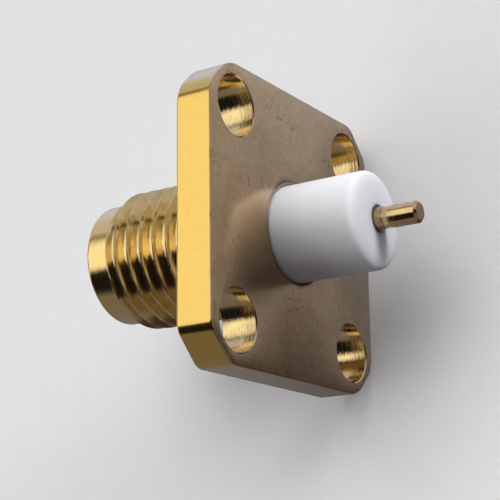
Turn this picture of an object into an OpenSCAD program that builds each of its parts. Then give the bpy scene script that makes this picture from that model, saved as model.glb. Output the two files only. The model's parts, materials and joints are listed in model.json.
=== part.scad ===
// Coaxial panel jack with a square four-hole flange.
//
// Three pieces make it up. The body is turned and milled from one bar: a square flange
// and a threaded barrel with a stepped bore. The insulator is a plain rod through that bore,
// and stands out behind the flange. The centre contact runs through the insulator: a slotted
// socket at the mating end, a barbed collar in the middle and a solder pin at the back.
//
// The origin is the centre of the flange's mounting face, which is its rear face. +Y runs
// along the connector's axis towards the solder pin, so the mating end faces -Y.
// Lengths are in millimetres.

/* [Flange] */
// Side of the square flange
flange_w = 12.7; // [12.2:0.1:16]
// Thickness of the flange
flange_t = 1.7; // [1:0.1:3]
// How far the 45 degree cut of each corner reaches along the sides
corner_cut = 1.35; // [0.8:0.05:1.55]
// Radius that softens both ends of each corner cut
corner_soft = 1; // [0.4:0.1:1.8]
// Chamfer that breaks the edges of both faces
edge_break = 0.08; // [0.02:0.02:0.2]
// Distance of each screw hole's centre from the flange's nearest two edges
hole_inset = 1.85; // [1.75:0.05:2.2]
// Diameter of the screw holes
hole_d = 2.6; // [2:0.1:2.9]

/* [Barrel] */
// Length of the barrel in front of the flange
barrel_len = 7.7; // [6.5:0.1:12]
// Diameter of the smooth land at the mating end
land_d = 5.5; // [5.2:0.05:5.9]
// Length of the smooth land
land_len = 1.1; // [0.6:0.1:1.6]
// Major diameter of the coupling thread
thread_d = 6.3; // [6.2:0.01:6.35]
// Pitch of the coupling thread, 36 turns to the inch
thread_pitch = 0.7056; // [0.5:0.0001:0.8]
// Length of the threaded stretch, with its two chamfered ends
thread_len = 4.6; // [3:0.1:5]
// Diameter of the plain neck between the thread and the flange
neck_d = 5.5; // [5.2:0.1:6]
// Chamfer of the rim at the mating end, inside and outside
rim_break = 0.12; // [0.04:0.02:0.2]

/* [Mating recess] */
// Diameter of the recess that takes the plug's outer conductor
recess_d = 4.6; // [4.5:0.01:4.8]
// Depth of the recess, down to the ring and the insulator's face
recess_depth = 1.9; // [1.5:0.05:2.5]

/* [Insulator] */
// Diameter of the insulator
insulator_d = 4.2; // [3.9:0.05:4.4]
// How far the insulator stands out behind the flange
insulator_out = 4; // [0:0.1:10]
// Rounding of the insulator's rear edge
insulator_round = 0.3; // [0.05:0.05:0.5]
// Chamfer of the body's bore at the mounting face
bore_break = 0.15; // [0.05:0.05:0.3]

/* [Centre contact] */
// Diameter of the contact inside the insulator
contact_d = 1.27; // [1.1:0.01:1.5]
// Diameter of the bore of the socket
socket_d = 0.94; // [0.8:0.01:1]
// Depth of the bore of the socket, down to the drill's cone
socket_depth = 3; // [2:0.1:4]
// Width of the slots that part the socket's tines
slot_w = 0.16; // [0.1:0.02:0.25]
// Length of the slots
slot_len = 2.2; // [1:0.1:3]
// Diameter of the barbed collar that holds the contact in the insulator
collar_d = 1.9; // [1.6:0.1:2.4]
// Length of the barbed collar
collar_len = 1.2; // [0.6:0.1:2]
// Diameter of the solder pin
pin_d = 0.94; // [0.6:0.02:1.2]
// Length of the solder pin beyond the insulator
pin_out = 1.9; // [1:0.1:8]
// Chamfer of the solder pin's tip
pin_chamfer = 0.1; // [0.02:0.02:0.2]

/* [Clearances] */
// Radial clearance between the insulator and the body
insulator_fit = 0.01; // [0.005:0.005:0.05]
// Radial clearance between the contact and the insulator
contact_fit = 0.01; // [0.005:0.005:0.05]
// Radial room round the socket, where its tines spread
tine_room = 0.08; // [0.04:0.02:0.2]

/* [Hidden] */
$fn = 96;

GOLD = [0.89, 0.7, 0.36];
PTFE_WHITE = [0.93, 0.92, 0.9];

// How far a cutter runs past the face that it opens.
over = 1;

// Stations along the connector's axis, from the mounting face.
front_face = -flange_t;
mating_end = front_face - barrel_len;
recess_floor = mating_end + recess_depth;
thread_start = mating_end + land_len;
thread_end = thread_start + thread_len;
contact_end = insulator_out + pin_out;

// The thread is 60 degrees, with a crest an eighth and a root a quarter of the pitch wide.
crest_flat = thread_pitch / 8;
root_flat = thread_pitch / 4;
thread_depth = (thread_pitch - crest_flat - root_flat) / 2 / tan(30);
root_r = thread_d / 2 - thread_depth;
// The first groove starts in the lead chamfer, which leaves the first crest low.
first_groove = 0.7 * thread_pitch;
groove_count = floor((thread_len - first_groove) / thread_pitch) + 1;

// The contact's stem ends a little below the insulator's face. From there a root, a little
// thicker than the pin, tapers to it.
root_sunk = 0.12;
root_step = 0.06;
root_out = 0.37;
// The collar sits half-way along the part of the insulator that the body holds.
collar_mid = recess_floor / 2;

// Turns a shape drawn along Z so that it lies along the connector's axis, +Y.
module on_axis() rotate([-90, 0, 0]) children();

// Disc with both rims broken.
module broken_disc(r, t, chamfer)
    rotate_extrude()
        polygon([[0, 0], [r - chamfer, 0], [r, chamfer],
                 [r, t - chamfer], [r - chamfer, t], [0, t]]);

// Bar along Y with its four long edges broken.
module broken_bar(w, len, t, chamfer)
    translate([0, len / 2, 0])
        rotate([90, 0, 0])
            linear_extrude(len)
                for (side = [0, 1])
                    mirror([side, 0])
                        polygon([[0, 0], [w / 2 - chamfer, 0], [w / 2, chamfer],
                                 [w / 2, t - chamfer], [w / 2 - chamfer, t], [0, t]]);

// Square plate with broken edges and cut corners: two crossed bars from side to side, two from
// cut to cut, and a disc at each of the eight soft bends between them. Each disc is turned by
// half a bend, which puts its first facet edge inside the plate.
module flange_plate() {
    bend = corner_soft * tan(22.5);
    side_half = flange_w / 2 - corner_cut - bend;
    cut_half = corner_cut / sqrt(2) - bend;
    across_cuts = (flange_w - corner_cut) * sqrt(2);
    for (turn = [0, 90]) {
        rotate(turn) broken_bar(flange_w, 2 * side_half, flange_t, edge_break);
        rotate(turn + 45) broken_bar(across_cuts, 2 * cut_half, flange_t, edge_break);
    }
    for (turn = [0 : 90 : 270], x = [-side_half, side_half])
        rotate(turn)
            translate([x, flange_w / 2 - corner_soft, 0])
                rotate(22.5) broken_disc(corner_soft, flange_t, edge_break);
}

// Outside of the barrel before its thread is cut, from the mating end to inside the flange.
module barrel_blank() {
    crest_r = thread_d / 2;
    rotate_extrude()
        polygon([
            [0, mating_end],
            [land_d / 2 - rim_break, mating_end],
            [land_d / 2, mating_end + rim_break],
            [land_d / 2, thread_start],
            [crest_r, thread_start + crest_r - land_d / 2],
            [crest_r, thread_end - crest_r + neck_d / 2],
            [neck_d / 2, thread_end],
            [neck_d / 2, front_face + flange_t / 2],
            [0, front_face + flange_t / 2]
        ]);
}

// One groove of the thread, drawn as a ring round the barrel.
module thread_groove() {
    reach = thread_d / 2 + over - root_r;
    half_root = root_flat / 2;
    half_mouth = half_root + reach * tan(30);
    rotate_extrude()
        polygon([[root_r, -half_root], [root_r + reach, -half_mouth],
                 [root_r + reach, half_mouth], [root_r, half_root]]);
}

module thread_grooves()
    for (i = [0 : groove_count - 1])
        translate([0, 0, thread_start + first_groove + i * thread_pitch])
            thread_groove();

// Recess for the plug, bore for the insulator, and the chamfers at both mouths.
module body_bore() {
    recess_r = recess_d / 2;
    bore_r = insulator_d / 2 + insulator_fit;
    rotate_extrude()
        polygon([
            [0, mating_end - over],
            [recess_r + rim_break + over, mating_end - over],
            [recess_r, mating_end + rim_break],
            [recess_r, recess_floor],
            [bore_r, recess_floor],
            [bore_r, -bore_break],
            [bore_r + bore_break + over, over],
            [0, over]
        ]);
}

module screw_holes() {
    at = flange_w / 2 - hole_inset;
    for (x = [-at, at], y = [-at, at])
        translate([x, y, front_face - over])
            cylinder(d = hole_d, h = flange_t + 2 * over);
}

// Gold-plated body: flange, threaded barrel and stepped bore in one piece.
module flange_body()
    color(GOLD)
        on_axis()
            difference() {
                union() {
                    translate([0, 0, front_face]) flange_plate();
                    barrel_blank();
                }
                thread_grooves();
                body_bore();
                screw_holes();
            }

// Half-section of the insulator's outside, with its rear edge rounded.
module insulator_section() {
    r = insulator_d / 2;
    soft = insulator_round;
    translate([0, recess_floor]) square([r - soft, insulator_out - recess_floor]);
    translate([0, recess_floor]) square([r, insulator_out - soft - recess_floor]);
    translate([r - soft, insulator_out - soft]) circle(soft);
}

// Outside of the contact in the insulator: room round the tines, the collar and the plain stem.
// clearance is added to every radius, so the insulator is cut to the same outline.
module contact_section(clearance, room) {
    contact_r = contact_d / 2 + clearance;
    collar_r = collar_d / 2 + clearance;
    tines_end = recess_floor + slot_len + slot_w;
    polygon([
        [0, recess_floor],
        [contact_r + room, recess_floor],
        [contact_r + room, tines_end],
        [contact_r, tines_end],
        [contact_r, collar_mid - collar_len / 2],
        [collar_r, collar_mid + collar_len / 2],
        [contact_r, collar_mid + collar_len / 2],
        [contact_r, insulator_out - root_sunk],
        [0, insulator_out - root_sunk]
    ]);
}

// White insulator: a rod with a through hole that the contact is pressed into.
module insulator()
    color(PTFE_WHITE)
        on_axis()
            difference() {
                rotate_extrude() insulator_section();
                rotate_extrude() contact_section(contact_fit, tine_room);
                translate([0, 0, recess_floor - over])
                    cylinder(r = contact_d / 2 + contact_fit + tine_room, h = 2 * over);
                translate([0, 0, insulator_out - over])
                    cylinder(r = contact_d / 2 + contact_fit, h = 2 * over);
            }

// Solder pin with its tapered root and its chamfered tip.
module solder_pin() {
    pin_r = pin_d / 2;
    root_r = pin_r + root_step;
    rotate_extrude()
        polygon([
            [0, insulator_out - over],
            [root_r, insulator_out - over],
            [root_r, insulator_out - root_sunk],
            [pin_r, insulator_out + root_out],
            [pin_r, contact_end - pin_chamfer],
            [pin_r - pin_chamfer, contact_end],
            [0, contact_end]
        ]);
}

// Bore of the socket, with a small lead-in and the drill's cone at its bottom.
module socket_bore() {
    socket_r = socket_d / 2;
    lead_in = (contact_d - socket_d) / 4;
    bottom = recess_floor + socket_depth;
    rotate_extrude()
        polygon([
            [0, recess_floor - over],
            [socket_r + lead_in + over, recess_floor - over],
            [socket_r, recess_floor + lead_in],
            [socket_r, bottom],
            [0, bottom + socket_r * tan(30)]
        ]);
}

// Two crossed cuts that part the socket into four tines.
module tine_slots()
    for (turn = [0, 90])
        rotate(turn)
            translate([-contact_d, -slot_w / 2, recess_floor - over])
                cube([2 * contact_d, slot_w, slot_len + over]);

// Gold-plated centre contact: slotted socket, barbed collar and solder pin in one piece.
module centre_contact()
    color(GOLD)
        on_axis()
            difference() {
                union() {
                    rotate_extrude() contact_section(0, 0);
                    solder_pin();
                }
                socket_bore();
                tine_slots();
            }

flange_body();
insulator();
centre_contact();
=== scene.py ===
import json
import math
import random

import bmesh
import bpy
from mathutils import Matrix, Vector, noise
from mathutils.geometry import delaunay_2d_cdt


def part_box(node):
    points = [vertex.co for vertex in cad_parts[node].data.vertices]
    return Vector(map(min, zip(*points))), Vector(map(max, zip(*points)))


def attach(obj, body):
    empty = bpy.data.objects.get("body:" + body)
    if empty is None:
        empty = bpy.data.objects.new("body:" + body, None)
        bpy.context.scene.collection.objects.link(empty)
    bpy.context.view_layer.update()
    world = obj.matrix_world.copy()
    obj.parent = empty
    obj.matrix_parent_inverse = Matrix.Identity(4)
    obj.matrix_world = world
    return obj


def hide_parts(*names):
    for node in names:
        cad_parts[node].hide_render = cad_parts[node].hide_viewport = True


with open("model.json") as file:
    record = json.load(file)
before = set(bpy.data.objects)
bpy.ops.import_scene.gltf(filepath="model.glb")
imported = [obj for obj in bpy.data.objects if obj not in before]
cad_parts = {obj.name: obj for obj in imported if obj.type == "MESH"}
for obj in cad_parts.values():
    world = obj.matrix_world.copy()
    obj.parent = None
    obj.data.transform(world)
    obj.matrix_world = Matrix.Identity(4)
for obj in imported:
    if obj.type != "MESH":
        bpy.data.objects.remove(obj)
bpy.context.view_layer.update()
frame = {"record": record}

# Lengths are in millimetres, turned into metres where vertices and objects are placed.
MM = 0.001

# The connector's axis is Y: the mating end faces -Y and the solder pin +Y. The flange's rear
# face, which is its mounting face, lies at y = 0.
BODY_LOW, BODY_HIGH = (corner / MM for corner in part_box("flange_body"))
ROD_LOW, ROD_HIGH = (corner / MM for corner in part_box("insulator"))
PIN_TIP = (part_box("centre_contact")[1] / MM).y
MOUNT_SIZES = {mount["name"]: mount["dims"] for mount in frame["record"]["mounts"]}

# Flange
FLANGE_W = BODY_HIGH.x - BODY_LOW.x
FLANGE_T = 1.7
# The corners are cut at 45 degrees by hand, so their bends differ a little in softness. They
# start with the corner at +X and +Z, and go round towards -Z.
CORNER_CUT = 1.35
CORNER_BENDS = (0.75, 1.6, 0.95, 1.6)
EDGE_BREAK = 0.08
HOLE_PITCH = MOUNT_SIZES["flange_holes"]["spacing_x_mm"]
HOLE_R = MOUNT_SIZES["flange_holes"]["hole_r_mm"]
HOLE_BREAK = 0.05
FRONT_FACE = -FLANGE_T

# Barrel
MATING_END = BODY_LOW.y
LAND_R = 2.75
LAND_LEN = 1.1
THREAD_R = MOUNT_SIZES["coupling_thread"]["r_mm"]
THREAD_PITCH = 0.7056
THREAD_LEN = 4.6
NECK_R = 2.75
NECK_FILLET = 0.1
RIM_BREAK = 0.12
THREAD_START = MATING_END + LAND_LEN
THREAD_END = THREAD_START + THREAD_LEN

# The thread is 60 degrees, with a crest an eighth and a root a quarter of the pitch wide.
CREST_FLAT = THREAD_PITCH / 8
ROOT_FLAT = THREAD_PITCH / 4
THREAD_DEPTH = (THREAD_PITCH - CREST_FLAT - ROOT_FLAT) / 2 * math.sqrt(3)
# At this angle, counted from +X towards +Z, the first groove's middle lies this far along.
GROOVE_ANGLE = math.radians(72)
FIRST_GROOVE = 0.7 * THREAD_PITCH
# Each crest is a little hollow, and worn back by a broad and a fine unevenness. The wear fades
# out at a small depth below the crests.
CREST_HOLLOW = 0.022
CREST_WEAR_BROAD = 0.008
CREST_WEAR_FINE = 0.012
CREST_WEAR_REACH = 0.03

# Recess and bore
RECESS_R = MOUNT_SIZES["plug_recess"]["r_mm"]
RECESS_FLOOR = ROD_LOW.y
ROD_R = ROD_HIGH.x
ROD_FIT = 0.01
BORE_R = ROD_R + ROD_FIT
BORE_BREAK = 0.15
# The rod's rear end is domed, from its wall in to where it is flat.
ROD_DOME = 0.42
ROD_FLAT_R = 0.6

# Centre contact
CONTACT_R = 1.27 / 2
COLLAR_R = 0.95
COLLAR_LEN = 1.2
COLLAR_MID = RECESS_FLOOR / 2
SOCKET_R = MOUNT_SIZES["contact_socket"]["r_mm"]
SOCKET_DEPTH = 3
SLOT_W = 0.16
SLOT_LEN = 2.2
SLOT_OVERRUN = 1
TINE_ROOM = 0.08
CONTACT_FIT = 0.01
PIN_R = MOUNT_SIZES["solder_pin"]["r_mm"]
PIN_CHAMFER = 0.1
# The pin's root is wider. It starts inside the insulator and tapers to the pin behind it.
ROOT_SUNK = 0.12
ROOT_R = PIN_R + 0.06
ROOT_OUT = 0.37

# Marks of the tool on turned and drilled walls: the step from one to the next, and their depths.
MARK_STEP = 0.06
HOLE_MARK_STEP = 0.075
LAND_MARKS = 0.0012
NECK_MARKS = 0.003
RECESS_MARKS = 0.0015
HOLE_MARKS = 0.006
PIN_MARKS = 0.002

# Sides of a full circle, by the size of what is turned.
SIDES_BARREL = 192
SIDES_HOLE = 80
SIDES_ROD = 160
SIDES_PIN = 96

# Edges that turn more than this are sharp.
SHARP_ANGLE = math.radians(28)


# ---------------------------------------------------------------- mesh building

def arc_profile(centre, radius, start_deg, end_deg, steps):
    """Points (y, r) on an arc of a half-section; 0 degrees points along +Y and 90 outwards."""
    points = []
    for step in range(steps + 1):
        angle = math.radians(start_deg + (end_deg - start_deg) * step / steps)
        points.append((centre[0] + radius * math.cos(angle), centre[1] + radius * math.sin(angle)))
    return points


def turned_profile(start, end, step, depth, seed):
    """Points (y, r) along a turned wall from start to end, with the tool's fine uneven marks.

    The marks cut inwards to the axis, or outwards from it where depth is negative.
    """
    marks = random.Random(seed)
    length = math.dist(start, end)
    count = max(2, round(length / step))
    points = [start]
    for i in range(1, count):
        share = (i + marks.uniform(-0.3, 0.3)) / count
        y = start[0] + (end[0] - start[0]) * share
        r = start[1] + (end[1] - start[1]) * share
        points.append((y, r - depth * marks.random()))
    points.append(end)
    return points


def domed_profile(end, flat_r, outer_r, drop, steps):
    """Points (y, r) over a soft end, from the wall in to where the end is flat."""
    fullness = 0.72
    points = []
    for step in range(steps + 1):
        angle = math.pi / 2 * step / steps
        share = math.cos(angle) ** fullness
        sunk = 1 - math.sin(angle) ** fullness
        points.append((end - drop * sunk, flat_r + (outer_r - flat_r) * share))
    return points


def circle_angles(sides, start=0.0):
    """Angles round a full circle, in the order in which every loop of vertices is built."""
    return [start - 2 * math.pi * i / sides for i in range(sides)]


def ring(bm, y, r, angles, centre=(0.0, 0.0)):
    """A loop of vertices round the connector's axis, or round a line parallel to it."""
    return [
        bm.verts.new(Vector((centre[0] + r * math.cos(a), y, centre[1] + r * math.sin(a))) * MM)
        for a in angles
    ]


def bridge(bm, first, second):
    """Quads between two loops of the same number of vertices."""
    count = len(first)
    for i in range(count):
        j = (i + 1) % count
        bm.faces.new((first[i], first[j], second[j], second[i]))


def lathe(bm, profile, angles, centre=(0.0, 0.0)):
    """Surface of revolution through the (y, r) points; returns its first and last loops."""
    loops = [ring(bm, y, r, angles, centre) for y, r in profile]
    for first, second in zip(loops, loops[1:]):
        bridge(bm, first, second)
    return loops[0], loops[-1]


def inside(point, loop):
    """Whether a point of the XZ plane lies inside a closed loop of that plane."""
    found = False
    for a, b in zip(loop, loop[1:] + loop[:1]):
        if (a.y > point.y) != (b.y > point.y):
            if point.x < (b.x - a.x) * (point.y - a.y) / (b.y - a.y) + a.x:
                found = not found
    return found


def fill_plane(bm, outer, holes):
    """Flat face square to the axis, between an outer loop of vertices and the loops of its holes."""
    loops = [outer] + holes
    flat_loops = [[Vector((v.co.x, v.co.z)) / MM for v in loop] for loop in loops]
    verts = [v for loop in loops for v in loop]
    points = [p for loop in flat_loops for p in loop]
    edges = []
    for loop in loops:
        start = edges[-1][0] + 1 if edges else 0
        edges += [(start + i, start + (i + 1) % len(loop)) for i in range(len(loop))]
    made, _, triangles, origins, _, _ = delaunay_2d_cdt(points, edges, [], 1, 1e-7)
    for triangle in triangles:
        middle = sum((made[i] for i in triangle), Vector((0, 0))) / 3
        if inside(middle, flat_loops[0]) and not any(inside(middle, h) for h in flat_loops[1:]):
            bm.faces.new([verts[origins[i][0]] for i in triangle])


def close_end(bm, loop, y):
    """Closes a loop with a fan of triangles to a point on the axis."""
    middle = bm.verts.new(Vector((0, y, 0)) * MM)
    for i, vert in enumerate(loop):
        bm.faces.new((vert, loop[(i + 1) % len(loop)], middle))


def finish_mesh(bm, name, materials):
    """Turns the bmesh into an object with sharp edges where the surface turns quickly."""
    bmesh.ops.remove_doubles(bm, verts=bm.verts, dist=1e-5 * MM)
    bmesh.ops.recalc_face_normals(bm, faces=bm.faces)
    for face in bm.faces:
        face.smooth = True
    for edge in bm.edges:
        if len(edge.link_faces) == 2 and edge.calc_face_angle() > SHARP_ANGLE:
            edge.smooth = False
    mesh = bpy.data.meshes.new(name)
    bm.to_mesh(mesh)
    bm.free()
    piece = bpy.data.objects.new(name, mesh)
    bpy.context.scene.collection.objects.link(piece)
    for material in materials:
        mesh.materials.append(material)
    return piece


# ---------------------------------------------------------------- flange body

def flange_outline(inset):
    """Points (x, z) round the flange, drawn in by inset; each corner is a bend, a cut and a bend."""
    bend_steps = 10
    side_steps = 44
    corners = []
    for soft in CORNER_BENDS:
        high = FLANGE_W / 2 - soft
        low = FLANGE_W / 2 - CORNER_CUT - soft * math.tan(math.pi / 8)
        first = arc_profile((low, high), soft - inset, 90, 45, bend_steps)
        second = arc_profile((high, low), soft - inset, 45, 0, bend_steps)
        middle = [((first[-1][0] + second[0][0]) / 2, (first[-1][1] + second[0][1]) / 2)]
        corners.append((low, first + middle + second))
    points = []
    for quarter, (low, corner) in enumerate(corners):
        next_low = corners[(quarter + 1) % 4][0]
        steps = [low - (low + next_low) * step / side_steps for step in range(1, side_steps)]
        side = [(FLANGE_W / 2 - inset, z) for z in steps]
        turn = Matrix.Rotation(-quarter * math.pi / 2, 2)
        points += [turn @ Vector(point) for point in corner + side]
    return points


def thread_rows():
    """(offset, depth) along one pitch of the thread, from the middle of a groove to the next.

    The corners of root and crest are softened by hundredths of a millimetre.
    """
    half = THREAD_PITCH / 2
    root = ROOT_FLAT / 2
    crest = CREST_FLAT / 2
    soft = 0.02
    rising = [
        (0, THREAD_DEPTH),
        (root * 0.6, THREAD_DEPTH - 0.002),
        (root, THREAD_DEPTH - 0.012),
        (root + soft, THREAD_DEPTH - 0.04),
    ]
    flank_start, flank_end = root + soft, half - crest - soft / 2
    for share in (0.3, 0.6, 0.85):
        offset = flank_start + (flank_end - flank_start) * share
        rising.append((offset, THREAD_DEPTH - (offset - root) * math.sqrt(3)))
    rising += [
        (half - crest - soft / 2, 0.022),
        (half - crest, 0.006),
        (half - crest * 0.75, 0),
        (half - crest * 0.5, 0.004),
        (half - crest * 0.25, CREST_HOLLOW * 0.75),
        (half, CREST_HOLLOW),
    ]
    falling = [(THREAD_PITCH - offset, depth) for offset, depth in reversed(rising[1:-1])]
    return rising + falling


def crest_wear(angle, y):
    """How far the crests are worn back, which leaves them slightly ragged."""
    place = Vector((math.cos(angle) * 6, y * 4, math.sin(angle) * 6))
    broad = CREST_WEAR_BROAD * max(0.0, noise.noise(place))
    return broad + CREST_WEAR_FINE * abs(noise.noise(place * 3))


def threaded_wall(bm, angles):
    """Right-handed helical thread between two plain rings, with a 45 degree cone at each end."""
    rows = thread_rows()
    spare_turns = 3
    turns = range(-spare_turns, math.ceil(THREAD_LEN / THREAD_PITCH) + spare_turns)
    columns = []
    for i, angle in enumerate(angles):
        shift = THREAD_PITCH * i / len(angles)
        column = []
        for turn in turns:
            for offset, depth in rows:
                y = THREAD_START + FIRST_GROOVE + turn * THREAD_PITCH + shift + offset
                y = min(max(y, THREAD_START), THREAD_END)
                wear = crest_wear(angle, y) * max(0.0, 1 - depth / CREST_WEAR_REACH)
                cones = (LAND_R + y - THREAD_START, NECK_R + THREAD_END - y)
                r = min(THREAD_R - depth - wear, *cones)
                place = Vector((r * math.cos(angle), y, r * math.sin(angle)))
                column.append(bm.verts.new(place * MM))
        columns.append(column)
    # The last column meets the first one a pitch further on.
    columns.append(columns[0][len(rows):])
    for first, second in zip(columns, columns[1:]):
        for k in range(len(second) - 1):
            a, b, c, d = first[k], first[k + 1], second[k + 1], second[k]
            # Rows before the thread's start or past its end fall together, and make no face.
            if (a.co - b.co).length + (c.co - d.co).length > 0:
                bm.faces.new((a, b, c, d))


def edge_loops(bm):
    """Loops round the flange's side, from the front face over both broken edges to the rear."""
    soft = EDGE_BREAK * 0.3
    plain = EDGE_BREAK * 1.3
    rows = (
        (FRONT_FACE, EDGE_BREAK),
        (FRONT_FACE + soft, soft),
        (FRONT_FACE + EDGE_BREAK, 0),
        (FRONT_FACE + plain, 0),
        (-plain, 0),
        (-EDGE_BREAK, 0),
        (-soft, soft),
        (0, EDGE_BREAK),
    )
    loops = []
    for y, inset in rows:
        loops.append([bm.verts.new(Vector((p.x, y, p.y)) * MM) for p in flange_outline(inset)])
    for first, second in zip(loops, loops[1:]):
        bridge(bm, first, second)
    return loops


def screw_holes(bm):
    """Walls of the four holes, with the drill's rings; returns their front and rear mouths."""
    angles = circle_angles(SIDES_HOLE)
    start = (FRONT_FACE + HOLE_BREAK, HOLE_R)
    end = (-HOLE_BREAK, HOLE_R)
    mouth_r = HOLE_R + HOLE_BREAK
    fronts, rears = [], []
    for x in (-HOLE_PITCH / 2, HOLE_PITCH / 2):
        for z in (-HOLE_PITCH / 2, HOLE_PITCH / 2):
            seed = round(7 * x + 3 * z)
            wall = turned_profile(start, end, HOLE_MARK_STEP, -HOLE_MARKS, seed)
            profile = [(FRONT_FACE, mouth_r)] + wall + [(0, mouth_r)]
            front, rear = lathe(bm, profile, angles, (x, z))
            fronts.append(front)
            rears.append(rear)
    return fronts, rears


def make_flange_body(materials):
    """Body in one piece: square flange, threaded barrel, plug recess and the insulator's bore."""
    bm = bmesh.new()
    barrel = circle_angles(SIDES_BARREL, GROOVE_ANGLE)

    # Mating end, from the recess over the rim to the land.
    rim_y = MATING_END + RIM_BREAK
    land = turned_profile((rim_y, LAND_R), (THREAD_START, LAND_R), MARK_STEP, LAND_MARKS, seed=3)
    rim_in = arc_profile((rim_y, RECESS_R + RIM_BREAK), RIM_BREAK, 270, 180, steps=3)
    rim_out = arc_profile((rim_y, LAND_R - RIM_BREAK), RIM_BREAK, 180, 90, steps=3)
    lathe(bm, rim_in + rim_out + land[1:], barrel)
    threaded_wall(bm, barrel)

    # Neck and the small fillet where it meets the flange.
    fillet_middle = (FRONT_FACE - NECK_FILLET, NECK_R + NECK_FILLET)
    fillet = arc_profile(fillet_middle, NECK_FILLET, 270, 360, steps=4)
    neck = turned_profile((THREAD_END, NECK_R), fillet[0], MARK_STEP, NECK_MARKS, seed=5)
    _, neck_foot = lathe(bm, neck + fillet[1:], barrel)

    outer_loops = edge_loops(bm)
    front_mouths, rear_mouths = screw_holes(bm)

    # Bore from the mounting face to the recess, then the recess to the rim.
    bore = [
        (0, BORE_R + BORE_BREAK),
        (-BORE_BREAK, BORE_R),
        (RECESS_FLOOR, BORE_R),
        (RECESS_FLOOR, RECESS_R),
    ]
    recess_start = (RECESS_FLOOR, RECESS_R)
    recess = turned_profile(recess_start, rim_in[0], MARK_STEP, -RECESS_MARKS, seed=9)
    bore_mouth, _ = lathe(bm, bore + recess[1:], barrel)

    fill_plane(bm, outer_loops[0], front_mouths + [neck_foot])
    fill_plane(bm, outer_loops[-1], rear_mouths + [bore_mouth])
    return finish_mesh(bm, "threaded_flange_body", materials)


# ---------------------------------------------------------------- insulator and contact

def contact_outline(clearance, room, end):
    """Half-section of the contact's outside in the insulator, from the mating end back to end."""
    tines_end = RECESS_FLOOR + SLOT_LEN + SLOT_W
    plain = CONTACT_R + clearance
    return [
        (RECESS_FLOOR, plain + room),
        (tines_end, plain + room),
        (tines_end, plain),
        (COLLAR_MID - COLLAR_LEN / 2, plain),
        (COLLAR_MID + COLLAR_LEN / 2, COLLAR_R + clearance),
        (COLLAR_MID + COLLAR_LEN / 2, plain),
        (end, plain),
    ]


def make_insulator(material):
    """Turned rod with a soft rear edge and a stepped hole for the contact."""
    bm = bmesh.new()
    dome = domed_profile(ROD_HIGH.y, ROD_FLAT_R, ROD_R, ROD_DOME, steps=20)
    hole = list(reversed(contact_outline(CONTACT_FIT, TINE_ROOM, ROD_HIGH.y)))
    profile = [(RECESS_FLOOR, ROD_R)] + dome + hole
    first, last = lathe(bm, profile, circle_angles(SIDES_ROD))
    bridge(bm, last, first)
    return finish_mesh(bm, "insulator_rod", [material])


def make_contact(materials):
    """Solder pin, collar and slotted socket turned in one piece."""
    bm = bmesh.new()
    stem_end = ROD_HIGH.y - ROOT_SUNK
    lead_in = (CONTACT_R - SOCKET_R) / 2
    bottom = RECESS_FLOOR + SOCKET_DEPTH
    drill_cone = SOCKET_R * math.tan(math.radians(30))
    socket = [
        (bottom, SOCKET_R),
        (RECESS_FLOOR + lead_in, SOCKET_R),
        (RECESS_FLOOR, SOCKET_R + lead_in),
    ]
    pin_start = (ROD_HIGH.y + ROOT_OUT, PIN_R)
    pin_end = (PIN_TIP - PIN_CHAMFER, PIN_R)
    pin = turned_profile(pin_start, pin_end, MARK_STEP, PIN_MARKS, seed=13)
    # The outline's first three points only make room for the tines.
    stem = contact_outline(0, 0, stem_end)[3:]
    profile = socket + [(RECESS_FLOOR, CONTACT_R)] + stem
    profile += [(stem_end, ROOT_R)] + pin + [(PIN_TIP, PIN_R - PIN_CHAMFER)]
    first, last = lathe(bm, profile, circle_angles(SIDES_PIN))
    close_end(bm, first, bottom + drill_cone)
    close_end(bm, last, PIN_TIP)
    contact = finish_mesh(bm, "socket_contact", materials)
    cut_slots(contact)
    return contact


def cut_slots(contact):
    """Parts the socket into four tines with two crossed slots, cut by boxes that overrun it."""
    size = Matrix.Diagonal((4 * CONTACT_R * MM, (SLOT_LEN + SLOT_OVERRUN) * MM, SLOT_W * MM, 1))
    place = Matrix.Translation((0, (RECESS_FLOOR + (SLOT_LEN - SLOT_OVERRUN) / 2) * MM, 0))
    bm = bmesh.new()
    for turn in (0, math.pi / 2):
        cutter = bmesh.new()
        bmesh.ops.create_cube(cutter, size=1, matrix=Matrix.Rotation(turn, 4, "Y") @ place @ size)
        mesh = bpy.data.meshes.new("slot_cutter")
        cutter.to_mesh(mesh)
        cutter.free()
        bm.from_mesh(mesh)
        bpy.data.meshes.remove(mesh)
    mesh = bpy.data.meshes.new("slot_cutters")
    bm.to_mesh(mesh)
    bm.free()
    cutters = bpy.data.objects.new("slot_cutters", mesh)
    bpy.context.scene.collection.objects.link(cutters)
    cut = contact.modifiers.new("slots", "BOOLEAN")
    cut.operation = "DIFFERENCE"
    cut.solver = "EXACT"
    cut.use_self = True
    cut.object = cutters
    bpy.context.view_layer.update()
    solved = contact.evaluated_get(bpy.context.evaluated_depsgraph_get())
    parted = bpy.data.meshes.new_from_object(solved)
    contact.modifiers.clear()
    contact.data = parted
    bpy.data.objects.remove(cutters)


# ---------------------------------------------------------------- materials

def new_material(name):
    """Node material; returns it with its tree and its shader."""
    material = bpy.data.materials.new(name)
    material.use_nodes = True
    tree = material.node_tree
    return material, tree, tree.nodes["Principled BSDF"]


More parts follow.
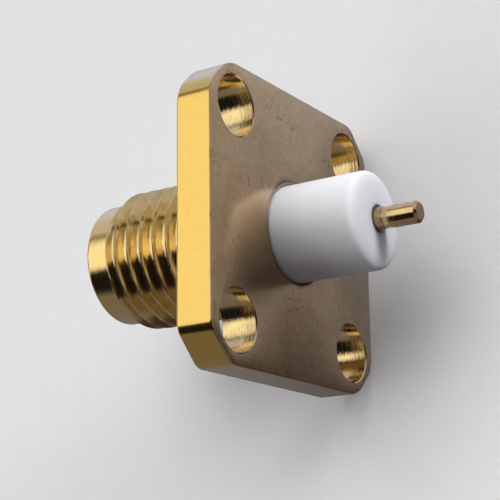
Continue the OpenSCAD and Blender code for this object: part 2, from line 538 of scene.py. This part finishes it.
def object_noise(tree, scale, stretch=(1, 1, 1), detail=4, roughness=0.55):
    """Noise in the object's own space; scale is the number of cells in a metre."""
    coords = tree.nodes.new("ShaderNodeTexCoord")
    mapping = tree.nodes.new("ShaderNodeMapping")
    mapping.inputs["Scale"].default_value = stretch
    tree.links.new(coords.outputs["Object"], mapping.inputs["Vector"])
    texture = tree.nodes.new("ShaderNodeTexNoise")
    texture.inputs["Scale"].default_value = scale
    texture.inputs["Detail"].default_value = detail
    texture.inputs["Roughness"].default_value = roughness
    tree.links.new(mapping.outputs["Vector"], texture.inputs["Vector"])
    return texture.outputs["Fac"]


def remap(tree, value, low, high, to_low, to_high, smooth=False):
    """Maps low..high to to_low..to_high, and keeps to those ends outside it."""
    node = tree.nodes.new("ShaderNodeMapRange")
    node.interpolation_type = "SMOOTHSTEP" if smooth else "LINEAR"
    node.inputs["From Min"].default_value = low
    node.inputs["From Max"].default_value = high
    node.inputs["To Min"].default_value = to_low
    node.inputs["To Max"].default_value = to_high
    tree.links.new(value, node.inputs["Value"])
    return node.outputs["Result"]


def math_node(tree, operation, first, second):
    """Sum, product or larger of two values, each a number or a socket."""
    node = tree.nodes.new("ShaderNodeMath")
    node.operation = operation
    for socket, value in zip(node.inputs, (first, second)):
        if isinstance(value, (int, float)):
            socket.default_value = value
        else:
            tree.links.new(value, socket)
    return node.outputs["Value"]


def mix_colour(tree, factor, first, second, blend="MIX"):
    """Mix of two colours, each a tuple or a socket."""
    node = tree.nodes.new("ShaderNodeMix")
    node.data_type = "RGBA"
    node.blend_type = blend
    for name, value in (("Factor", factor), ("A", first), ("B", second)):
        socket = node.inputs[name]
        if isinstance(value, (int, float)):
            socket.default_value = value
        elif isinstance(value, tuple):
            socket.default_value = (*value, 1)
        else:
            tree.links.new(value, socket)
    return node.outputs["Result"]


def bump(tree, height, distance, strength=1.0, normal=None):
    """Bump of a height field, with its full height in millimetres, on top of another bump."""
    node = tree.nodes.new("ShaderNodeBump")
    node.inputs["Strength"].default_value = strength
    node.inputs["Distance"].default_value = distance * MM
    tree.links.new(height, node.inputs["Height"])
    if normal is not None:
        tree.links.new(normal, node.inputs["Normal"])
    return node.outputs["Normal"]


def axis_distance(tree, x=0.0, z=0.0):
    """Distance, in millimetres, from a line along the connector's axis at (x, z)."""
    coords = tree.nodes.new("ShaderNodeTexCoord")
    flat = tree.nodes.new("ShaderNodeVectorMath")
    flat.operation = "MULTIPLY_ADD"
    flat.inputs[1].default_value = (1 / MM, 0, 1 / MM)
    flat.inputs[2].default_value = (-x, 0, -z)
    tree.links.new(coords.outputs["Object"], flat.inputs[0])
    length = tree.nodes.new("ShaderNodeVectorMath")
    length.operation = "LENGTH"
    tree.links.new(flat.outputs["Vector"], length.inputs[0])
    return length.outputs["Value"]


def veins(tree, scale, width):
    """Thin crooked lines, as scratches and cracks leave them; 1 on a line and 0 beside it."""
    coords = tree.nodes.new("ShaderNodeTexCoord")
    cells = tree.nodes.new("ShaderNodeTexVoronoi")
    cells.feature = "DISTANCE_TO_EDGE"
    cells.inputs["Scale"].default_value = scale
    tree.links.new(coords.outputs["Object"], cells.inputs["Vector"])
    return remap(tree, cells.outputs["Distance"], 0, width, 1, 0)


def new_metal(name):
    """Metal under a thin clear film, which pales it where it is seen at a low angle."""
    material, tree, shader = new_material(name)
    shader.inputs["Metallic"].default_value = 1.0
    shader.inputs["Coat Weight"].default_value = 1.0
    shader.inputs["Coat Roughness"].default_value = 0.12
    return material, tree, shader


def gold(name, colour, worn, roughness, mottle_scale, ring_depth=0.0):
    """Gold plate: uneven tone and gloss, and the tool's rings along the axis."""
    material, tree, shader = new_metal(name)
    mottle = object_noise(tree, mottle_scale)
    tone = remap(tree, mottle, 0.35, 0.7, 0, 1, smooth=True)
    base = mix_colour(tree, tone, colour, worn)
    gloss = remap(tree, mottle, 0.3, 0.7, roughness * 0.92, roughness * 1.1)
    normal = bump(tree, object_noise(tree, 9000, detail=2), 0.0015, 0.6)
    if ring_depth:
        rings = object_noise(tree, 300, stretch=(0.6, 28, 0.6), detail=4, roughness=0.7)
        normal = bump(tree, rings, ring_depth, 1.0, normal)
    tree.links.new(base, shader.inputs["Base Color"])
    tree.links.new(gloss, shader.inputs["Roughness"])
    tree.links.new(normal, shader.inputs["Normal"])
    return material


# On the mounting face shade is painted: a broad dark patch beside the bore for the insulator's shadow
# and its dark reflection, with its middle at this (x, z), and a narrow dark ring round the bore where
# the insulator meets it. Each fades out over these distances from its middle.
SHADE_PATCH_MIDDLE = (1.2, 3.2)
SHADE_PATCH_FADE = (0.9, 3.2)
SHADE_PATCH_COLOUR = (0.3, 0.17, 0.06)
BORE_SHADE_FADE = (ROD_R + 0.05, ROD_R + 0.4)
BORE_SHADE_COLOUR = (0.07, 0.045, 0.025)
SPECK_COLOUR = (0.07, 0.04, 0.025)


def specked_gold_with_painted_shade(name, colour, worn, roughness):
    """Dull gold plate: clouded, with painted shade beside and round the bore, and clusters of specks
    and scratches.
    """
    material, tree, shader = new_metal(name)
    clouds = object_noise(tree, 480, detail=6, roughness=0.62)
    grain = object_noise(tree, 3200, detail=5, roughness=0.65)
    base = mix_colour(tree, remap(tree, clouds, 0.36, 0.64, 0, 1, smooth=True), colour, worn)
    shade = remap(tree, grain, 0.3, 0.7, 0.82, 1.12)
    base = mix_colour(tree, 1.0, base, shade, "MULTIPLY")
    # Both painted shade marks are ragged at the edge.
    ragged = remap(tree, clouds, 0.3, 0.7, -0.6, 0.6)
    # Painted shade: a broad dark patch beside the bore stands in for the insulator's shadow and its
    # dark reflection.
    broad = math_node(tree, "ADD", axis_distance(tree, *SHADE_PATCH_MIDDLE), ragged)
    patch_shade = remap(tree, broad, *SHADE_PATCH_FADE, 0.88, 0, smooth=True)
    base = mix_colour(tree, patch_shade, base, SHADE_PATCH_COLOUR)
    # Painted shade: a narrow dark ring round the bore, where the insulator meets the face.
    narrow = math_node(tree, "ADD", axis_distance(tree), math_node(tree, "MULTIPLY", ragged, 0.35))
    bore_ring_shade = remap(tree, narrow, *BORE_SHADE_FADE, 0.85, 0, smooth=True)
    base = mix_colour(tree, bore_ring_shade, base, BORE_SHADE_COLOUR)
    # Specks and scratches gather in clusters.
    cluster = remap(tree, object_noise(tree, 520, detail=2), 0.52, 0.64, 0, 1, smooth=True)
    dots = remap(tree, object_noise(tree, 5600, detail=2, roughness=0.4), 0.61, 0.66, 0, 0.75)
    lines = math_node(tree, "MULTIPLY", veins(tree, 900, 0.035), cluster)
    faint = math_node(tree, "MULTIPLY", lines, remap(tree, grain, 0.5, 0.62, 0, 0.65))
    marks = math_node(tree, "MAXIMUM", math_node(tree, "MULTIPLY", dots, cluster), faint)
    base = mix_colour(tree, marks, base, SPECK_COLOUR)
    gloss = remap(tree, grain, 0.3, 0.7, roughness * 0.85, roughness * 1.3)
    normal = bump(tree, grain, 0.006, 0.6)
    normal = bump(tree, math_node(tree, "MULTIPLY", marks, -1.0), 0.008, 0.7, normal)
    tree.links.new(base, shader.inputs["Base Color"])
    tree.links.new(gloss, shader.inputs["Roughness"])
    tree.links.new(normal, shader.inputs["Normal"])
    return material


def ptfe():
    """White fluoropolymer: soft, slightly translucent, with faint turning marks."""
    material, tree, shader = new_material("ptfe_white")
    cloud = object_noise(tree, 500, detail=3)
    base = mix_colour(tree, cloud, (0.84, 0.84, 0.85), (0.79, 0.79, 0.8))
    tree.links.new(base, shader.inputs["Base Color"])
    gloss = remap(tree, cloud, 0.3, 0.7, 0.42, 0.55)
    tree.links.new(gloss, shader.inputs["Roughness"])
    shader.inputs["IOR"].default_value = 1.35
    shader.inputs["Subsurface Weight"].default_value = 0.6
    shader.inputs["Subsurface Radius"].default_value = (1.0, 0.9, 0.85)
    shader.inputs["Subsurface Scale"].default_value = 0.45 * MM
    rings = object_noise(tree, 300, stretch=(0.5, 30, 0.5), detail=3)
    grain = object_noise(tree, 6000, detail=2)
    normal = bump(tree, rings, 0.004, 0.6)
    tree.links.new(bump(tree, grain, 0.002, 0.5, normal), shader.inputs["Normal"])
    return material


def paper():
    """Pale paper on the floor."""
    material, tree, shader = new_material("pale_paper")
    grain = object_noise(tree, 900, detail=5)
    base = mix_colour(tree, grain, (0.9, 0.9, 0.9), (0.86, 0.86, 0.86))
    tree.links.new(base, shader.inputs["Base Color"])
    shader.inputs["Roughness"].default_value = 0.9
    shader.inputs["Specular IOR Level"].default_value = 0.2
    tree.links.new(bump(tree, grain, 0.04, 0.5), shader.inputs["Normal"])
    return material


# ---------------------------------------------------------------- finishes by place

# Material slots beside the first one, which has the body's turned and the contact's drawn gold
MILLED, SIDES, CUT = 1, 2, 3
# The contact's second slot holds the pin root's painted shade.
ROOT = 1


def assign_body_finishes(piece):
    """Milled mounting face, plain sides, and cut thread, neck and screw holes; the rest is turned."""
    side_reach = HOLE_PITCH / 2 + HOLE_R + 0.1
    for face in piece.data.polygons:
        x, y, z = (value / MM for value in face.center)
        across = math.hypot(x, z)
        in_flange = y > FRONT_FACE
        in_bore = across < BORE_R + BORE_BREAK
        on_barrel = THREAD_START < y < FRONT_FACE and across > RECESS_R + 0.1
        if y > -EDGE_BREAK and (face.normal.y > 0.3 or in_bore):
            face.material_index = MILLED
        elif in_flange and max(abs(x), abs(z)) > side_reach:
            face.material_index = SIDES
        elif in_flange and across > THREAD_R or on_barrel:
            face.material_index = CUT


def assign_contact_finishes(piece):
    """Painted shade: darker gold on the pin's root where it leaves the insulator, over a step and one
    row of faces; the rest is drawn.
    """
    for face in piece.data.polygons:
        behind = face.center.y / MM - ROD_HIGH.y
        if -ROOT_SUNK - 0.01 < behind < ROOT_OUT * 0.7:
            face.material_index = ROOT


# ---------------------------------------------------------------- stage, light and camera

def direction(azimuth, elevation):
    """Unit vector towards a place round the object; azimuth 0 is towards -Y and 90 towards +X."""
    a, e = math.radians(azimuth), math.radians(elevation)
    return Vector((math.sin(a) * math.cos(e), -math.cos(a) * math.cos(e), math.sin(e)))


# Half of the floor's width, and how the backdrop rises from it: where it starts, the radius of
# its bend and the height of its upright part.
FLOOR_HALF = 3000
BACKDROP_START = 400
BACKDROP_BEND = 700
BACKDROP_TOP = 2500


def make_floor():
    """Sheet of paper under the object, which takes its shadow.

    It is not mirrored in the metal and throws no light on the object. The world's lower half
    stands in for it there.
    """
    bm = bmesh.new()
    bmesh.ops.create_grid(bm, x_segments=8, y_segments=8, size=FLOOR_HALF * MM)
    bmesh.ops.translate(bm, vec=(0, 0, BODY_LOW.z * MM), verts=bm.verts)
    floor = finish_mesh(bm, "floor", [paper()])
    floor.visible_glossy = False
    floor.visible_diffuse = False


def backdrop_white():
    """Even pale tone, close to that of the lit floor."""
    material, tree, shader = new_material("pale_backdrop")
    cloud = object_noise(tree, 2, detail=2)
    tone = mix_colour(tree, cloud, (0.75, 0.75, 0.75), (0.77, 0.77, 0.77))
    shader.inputs["Base Color"].default_value = (0, 0, 0, 1)
    shader.inputs["Specular IOR Level"].default_value = 0.0
    shader.inputs["Emission Strength"].default_value = 1.0
    tree.links.new(tone, shader.inputs["Emission Color"])
    return material


def make_backdrop():
    """Pale bowl round the floor. Only the camera sees it, so it neither lights nor shades."""
    bm = bmesh.new()
    rim = BACKDROP_START + BACKDROP_BEND
    profile = arc_profile((BACKDROP_BEND, BACKDROP_START), BACKDROP_BEND, 180, 90, steps=24)
    profile.append((BACKDROP_BEND + BACKDROP_TOP, rim))
    angles = circle_angles(96)
    loops = []
    for height, out in profile:
        z = BODY_LOW.z + height
        points = [Vector((out * math.cos(a), out * math.sin(a), z)) for a in angles]
        loops.append([bm.verts.new(point * MM) for point in points])
    for first, second in zip(loops, loops[1:]):
        bridge(bm, first, second)
    backdrop = finish_mesh(bm, "backdrop", [backdrop_white()])
    backdrop.visible_glossy = False
    backdrop.visible_diffuse = False
    backdrop.visible_transmission = False
    backdrop.visible_shadow = False


# Light levels of the room round the connector. The lit side is -X and the shaded side is +X.
# On the lit side a dark ledge parts the wall from the sky, and a bluish light comes from below.
SKY_LIGHT = (1.15, 1.15, 1.15)
REAR_SKY = (0.4, 0.4, 0.4)
LEDGE_LIGHT = (0.1, 0.09, 0.08)
WALL_LIGHT = (0.57, 0.6, 0.76)
LOW_LIGHT = (0.48, 0.49, 0.54)
LOW_WINDOW = (0.58, 0.66, 0.88)
SHADED_SKY = (0.011, 0.011, 0.014)
SHADED_WALL = (0.19, 0.18, 0.2)
SHADED_CORNER = (0.055, 0.042, 0.036)
# Heights (sine of the elevation) between wall and sky: of the lit side's ledge, and of the fade
# on the shaded side.
LEDGE_LOW, LEDGE_HIGH = 0.47, 0.58
SHADED_LOW, SHADED_HIGH = 0.27, 0.42


def make_world():
    """A lit half and a shaded half, each with a sky above and a wall below it."""
    world = bpy.data.worlds.new("studio")
    bpy.context.scene.world = world
    world.use_nodes = True
    tree = world.node_tree
    coords = tree.nodes.new("ShaderNodeTexCoord")
    split = tree.nodes.new("ShaderNodeSeparateXYZ")
    tree.links.new(coords.outputs["Generated"], split.inputs["Vector"])
    height = split.outputs["Z"]

    def side(azimuth, start, end):
        """0 to 1 as the direction turns to an azimuth, by the cosine of the angle to it."""
        towards = tree.nodes.new("ShaderNodeVectorMath")
        towards.operation = "DOT_PRODUCT"
        towards.inputs[1].default_value = direction(azimuth, 0)
        tree.links.new(coords.outputs["Generated"], towards.inputs[0])
        return remap(tree, towards.outputs["Value"], start, end, 0, 1, smooth=True)

    def above(level, soft=0.015):
        """0 below a height and 1 above it."""
        return remap(tree, height, level - soft, level + soft, 0, 1, smooth=True)

    # Above the horizon: the lit side's wall, ledge and sky, and the shaded side's wall and sky.
    # The shaded wall goes on below the horizon, with a darker corner there.
    lit = mix_colour(tree, above(LEDGE_LOW), WALL_LIGHT, LEDGE_LIGHT)
    sky = mix_colour(tree, side(220, 0.0, 0.2), SKY_LIGHT, REAR_SKY)
    lit = mix_colour(tree, above(LEDGE_HIGH), lit, sky)
    shaded_step = remap(tree, height, SHADED_LOW, SHADED_HIGH, 0, 1, smooth=True)
    deep = remap(tree, height, -0.6, -0.45, 1, 0)
    corner = math_node(tree, "MULTIPLY", side(145, 0.35, 0.6), deep)
    shaded_wall = mix_colour(tree, corner, SHADED_WALL, SHADED_CORNER)
    shaded = mix_colour(tree, shaded_step, shaded_wall, SHADED_SKY)
    upper = mix_colour(tree, side(108, -0.02, 0.02), lit, shaded)

    # Below the horizon, where it darkens straight under the object.
    low = mix_colour(tree, side(310, 0.78, 0.95), LOW_LIGHT, LOW_WINDOW)
    lower = mix_colour(tree, side(95, -0.5, 0.1), low, shaded_wall)
    under = remap(tree, height, -0.87, -0.79, 0.5, 1)
    lower = mix_colour(tree, 1.0, lower, under, "MULTIPLY")
    level = mix_colour(tree, above(0.0), lower, upper)
    tree.links.new(level, tree.nodes["Background"].inputs["Color"])


def make_lamp(name, azimuth, elevation, energy, spread):
    """Large soft lamp; the metal mirrors the room and not the lamp."""
    light = bpy.data.lights.new(name, "SUN")
    light.energy = energy
    light.angle = math.radians(spread)
    lamp = bpy.data.objects.new(name, light)
    lamp.rotation_euler = direction(azimuth, elevation).to_track_quat("Z", "Y").to_euler()
    lamp.visible_glossy = False
    bpy.context.scene.collection.objects.link(lamp)


# The camera looks at a point near the flange, from behind and above, turned about its own axis.
CAMERA_TARGET = Vector((0.625, -1.762, 0.969)) * MM
CAMERA_AZIMUTH = 154.41
CAMERA_ELEVATION = 53.7
CAMERA_ROLL = -69.64
CAMERA_DISTANCE = 58.76 * MM
CAMERA_LENS = 98.77


def make_camera():
    """Camera at the photograph's viewing angle, with its roll."""
    camera = bpy.data.objects.new("camera", bpy.data.cameras.new("camera"))
    bpy.context.scene.collection.objects.link(camera)
    camera.data.lens = CAMERA_LENS
    camera.data.sensor_width = 36
    camera.data.clip_start = 1 * MM
    camera.data.clip_end = 10
    back = direction(CAMERA_AZIMUTH, CAMERA_ELEVATION)
    level = back.to_track_quat("Z", "Y").to_matrix()
    roll = Matrix.Rotation(math.radians(CAMERA_ROLL), 3, "Z")
    pose = (level @ roll).to_4x4()
    pose.translation = CAMERA_TARGET + back * CAMERA_DISTANCE
    camera.matrix_world = pose
    bpy.context.scene.camera = camera


# ---------------------------------------------------------------- the scene

# Colour, worn colour, roughness, cells of the mottle in a metre, and depth of the tool's rings.
turned = gold("gold_turned", (0.92, 0.63, 0.2), (0.89, 0.61, 0.23), 0.1, 700, ring_depth=0.009)
# The mounting face's gold carries painted shade beside and round the bore, as well as real specks and
# scratches.
milled = specked_gold_with_painted_shade("gold_milled", (0.74, 0.52, 0.28), (0.65, 0.43, 0.21), 0.22)
sides = gold("gold_sides", (0.84, 0.55, 0.1), (0.82, 0.53, 0.11), 0.17, 2400)
cut = gold("gold_cut", (0.87, 0.65, 0.27), (0.7, 0.5, 0.22), 0.1, 1500, ring_depth=0.014)
drawn = gold("gold_drawn", (0.74, 0.5, 0.22), (0.6, 0.4, 0.19), 0.15, 1400, ring_depth=0.004)
# The root's dark gold is painted shade where the pin leaves the insulator.
root = gold("gold_root", (0.42, 0.29, 0.15), (0.3, 0.2, 0.1), 0.25, 1800)

body = make_flange_body([turned, milled, sides, cut])
rod = make_insulator(ptfe())
contact = make_contact([drawn, root])

for piece, node, slot in (
    (body, "flange_body", "gold_plate"),
    (rod, "insulator", "ptfe"),
    (contact, "centre_contact", "gold_plate"),
):
    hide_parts(node)
    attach(piece, "root")

assign_body_finishes(body)
assign_contact_finishes(contact)

make_floor()
make_backdrop()
make_world()
make_lamp("key", azimuth=268, elevation=58, energy=1.12, spread=44)
make_lamp("front", azimuth=42, elevation=42, energy=0.52, spread=44)
make_lamp("rear", azimuth=224, elevation=4, energy=3.3, spread=36)
make_camera()
bpy.context.scene.view_settings.view_transform = "Standard"
